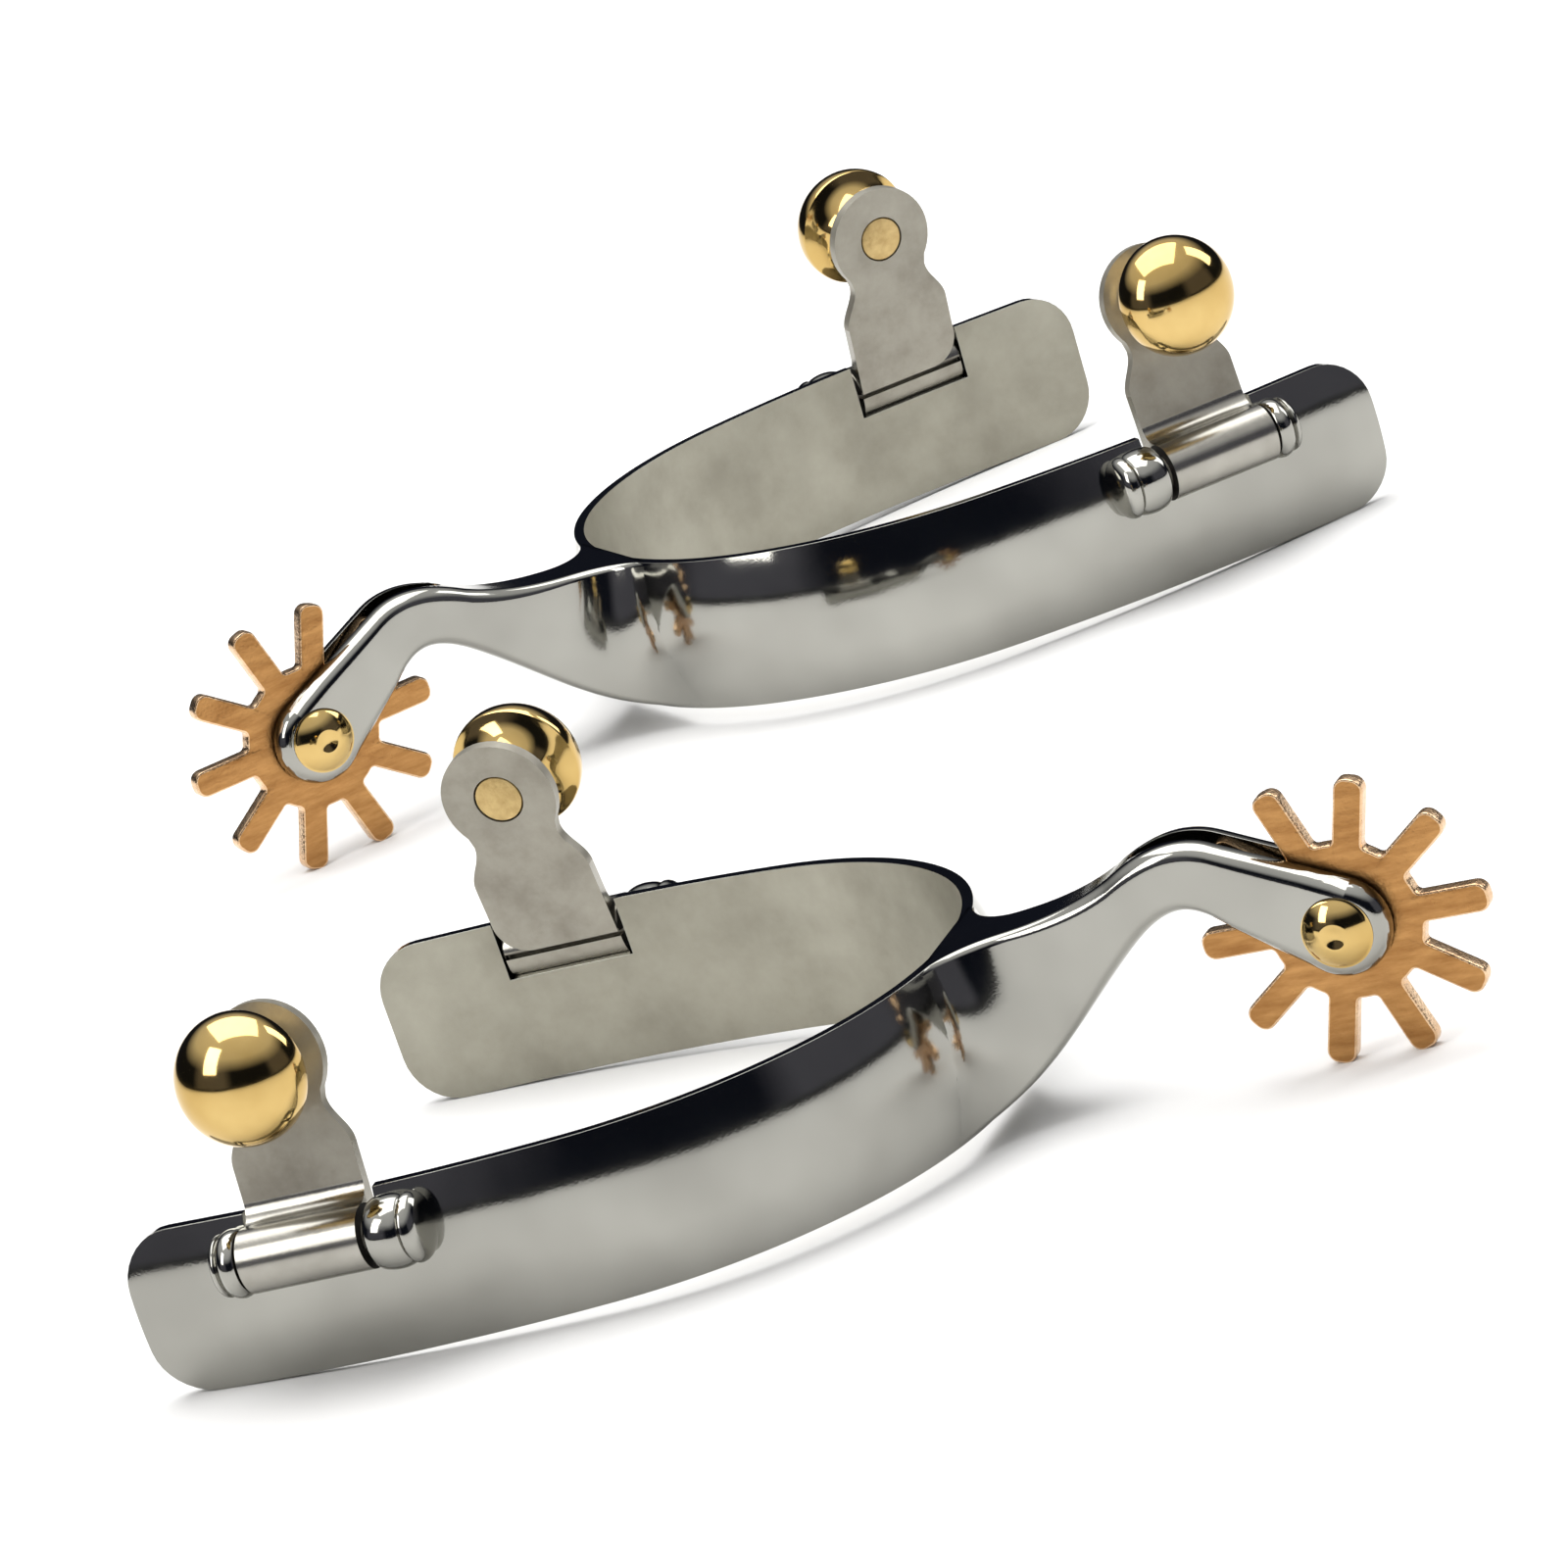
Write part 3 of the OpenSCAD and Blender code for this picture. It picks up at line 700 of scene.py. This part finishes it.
def build_spur(spur):
    at = spur_matrix(spur)
    body = f"{spur}_spur"
    finish_piece(f"{spur}_heel_band_shell", heel_band(), at, body,
                 [f"{spur}_heel_band"], [STEEL, SATIN])
    finish_piece(f"{spur}_gooseneck_shank", shank(), at, body,
                 [f"{spur}_shank"], [STEEL])
    axle = at @ Matrix.Translation((-SHANK_L, 0, PIN_Z)) @ Matrix.Rotation(math.pi / 2, 4, "X")
    tilt = math.asin(max(-1, min(1, -at.col[0].z / MM)))
    finish_piece(f"{spur}_ten_point_rowel", rowel(), axle @ Matrix.Rotation(tilt, 4, "Z"),
                 f"{spur}_rowel_wheel", [f"{spur}_rowel"], [BRONZE, BRONZE_EDGE_HIGHLIGHT_PAINT])
    finish_piece(f"{spur}_rowel_rivet", rowel_pin(), axle, body,
                 [f"{spur}_rowel_pin"], [BRASS])
    for side in ("outer", "inner"):
        name = f"{spur}_{side}"
        branch = side_of(spur, side)
        swing = f"{name}_strap_hanger"
        finish_piece(f"{name}_knuckle_pair", hinge_knuckles(), at @ hinge_frame(branch), body,
                     [f"{name}_hinge_knuckles"], [STEEL, GAP_SHADE_PAINT])
        finish_piece(f"{name}_hanger_plate", hanger(), at @ leaned(branch), swing,
                     [f"{name}_hanger"], [HANGER, BARREL, GAP_SHADE_PAINT])
        to_button = Matrix.Translation((0, -BARREL_R, BUTTON_H)) @ Matrix.Rotation(-math.pi / 2, 4, "X")
        finish_piece(f"{name}_domed_button", button(), at @ leaned(branch) @ to_button, swing,
                     [f"{name}_button"], [BRASS, PEENED])
        pin = frame["nodes"][f"{name}_hinge_pin"]
        for slot in pin.material_slots:
            slot.material = HANGER


for spur_name in ("left", "right"):
    build_spur(spur_name)


# ---- stage, light and camera ------------------------------------------------------------------

def floor():
    mesh = bpy.data.meshes.new("floor")
    size = 6.0
    mesh.from_pydata([(-size, -size, 0), (size, -size, 0), (size, size, 0), (-size, size, 0)],
                     [], [(0, 1, 2, 3)])
    plane = bpy.data.objects.new("floor", mesh)
    bpy.context.scene.collection.objects.link(plane)
    material = bpy.data.materials.new("pale_floor")
    material.use_nodes = True
    shader = material.node_tree.nodes["Principled BSDF"]
    shader.inputs["Base Color"].default_value = (0.86, 0.855, 0.845, 1)
    shader.inputs["Roughness"].default_value = 0.7
    shader.inputs["Specular IOR Level"].default_value = 0.2
    mesh.materials.append(material)


def area_light(name, at, target, size, power, colour=(1, 1, 1)):
    light = bpy.data.lights.new(name, "AREA")
    light.shape, light.size, light.size_y = "RECTANGLE", size[0], size[1]
    light.energy, light.color = power, colour
    item = bpy.data.objects.new(name, light)
    bpy.context.scene.collection.objects.link(item)
    item.location = at
    item.rotation_euler = (Vector(target) - Vector(at)).to_track_quat("-Z", "Y").to_euler()


def world():
    """A dark room with paler side walls and a bright ceiling."""
    room = bpy.data.worlds.new("room")
    room.use_nodes = True
    nodes, links = room.node_tree.nodes, room.node_tree.links

    def ramp(source, stops):
        node = nodes.new("ShaderNodeValToRGB")
        while len(node.color_ramp.elements) < len(stops):
            node.color_ramp.elements.new(0.5)
        for element, (at, colour) in zip(node.color_ramp.elements, stops):
            element.position, element.color = at, (*colour, 1)
        links.new(source, node.inputs["Fac"])
        return node.outputs["Color"]

    def split(source):
        node = nodes.new("ShaderNodeSeparateXYZ")
        links.new(source, node.inputs["Vector"])
        return node.outputs

    def mix(share, a, b):
        node = nodes.new("ShaderNodeMixRGB")
        links.new(share, node.inputs["Fac"])
        links.new(a, node.inputs["Color1"])
        links.new(b, node.inputs["Color2"])
        return node.outputs["Color"]

    direction = split(nodes.new("ShaderNodeTexCoord").outputs["Generated"])
    level = nodes.new("ShaderNodeCombineXYZ")
    links.new(direction["X"], level.inputs["X"])
    links.new(direction["Y"], level.inputs["Y"])
    unit = nodes.new("ShaderNodeVectorMath")
    unit.operation = "NORMALIZE"
    links.new(level.outputs["Vector"], unit.inputs[0])
    depth = nodes.new("ShaderNodeMapRange")
    depth.inputs["From Min"].default_value = -1
    links.new(split(unit.outputs["Vector"])["Y"], depth.inputs["Value"])
    dark, wall, ceiling = (0.010, 0.012, 0.020), (0.12, 0.12, 0.145), (0.26, 0.27, 0.29)
    walls = ramp(depth.outputs["Result"], [(0.06, dark), (0.12, wall), (0.40, wall), (0.5, dark)])
    above = ramp(direction["Z"], [(0.37, (0, 0, 0)), (0.64, (1, 1, 1))])
    skirting = ramp(direction["Z"], [(0.0, (0, 0, 0)), (0.03, (0, 0, 0)), (0.06, (1, 1, 1))])
    top = ramp(direction["Z"], [(0, ceiling)])
    low = ramp(direction["Z"], [(0, (0.006, 0.006, 0.009))])
    background = nodes["Background"].inputs["Color"]
    links.new(mix(skirting, low, mix(above, walls, top)), background)
    bpy.context.scene.world = room


def camera():
    """A long lens, turned about its own axis, that looks down on the pair."""
    down, roll, distance = math.radians(16.31), math.radians(-17.85), 1.6355
    target = Vector((0.0002, 0.0334, 0))
    look = Vector((0, math.cos(down), -math.sin(down)))
    right = Vector((1, 0, 0))
    up = right.cross(look)
    right, up = (right * math.cos(roll) + up * math.sin(roll),
                 up * math.cos(roll) - right * math.sin(roll))
    lens = bpy.data.cameras.new("camera")
    lens.sensor_width = 36
    lens.lens = 270
    lens.clip_end = 20
    item = bpy.data.objects.new("camera", lens)
    bpy.context.scene.collection.objects.link(item)
    turn = Matrix((right, up, -look)).transposed().to_4x4()
    item.matrix_world = Matrix.Translation(target - look * distance) @ turn
    bpy.context.scene.camera = item


floor()
world()
area_light("overhead", (0, 0.15, 1.0), (0, 0.05, 0), (1.1, 1.1), 12)
area_light("window_left", (-1.1, -0.7, 0.9), (0, 0, 0), (0.5, 0.9), 7, (1, 0.99, 0.97))
area_light("window_right", (1.2, 0.4, 0.8), (0, 0, 0), (0.5, 0.8), 4.5, (0.97, 0.98, 1))
camera()
bpy.context.scene.view_settings.view_transform = "Standard"
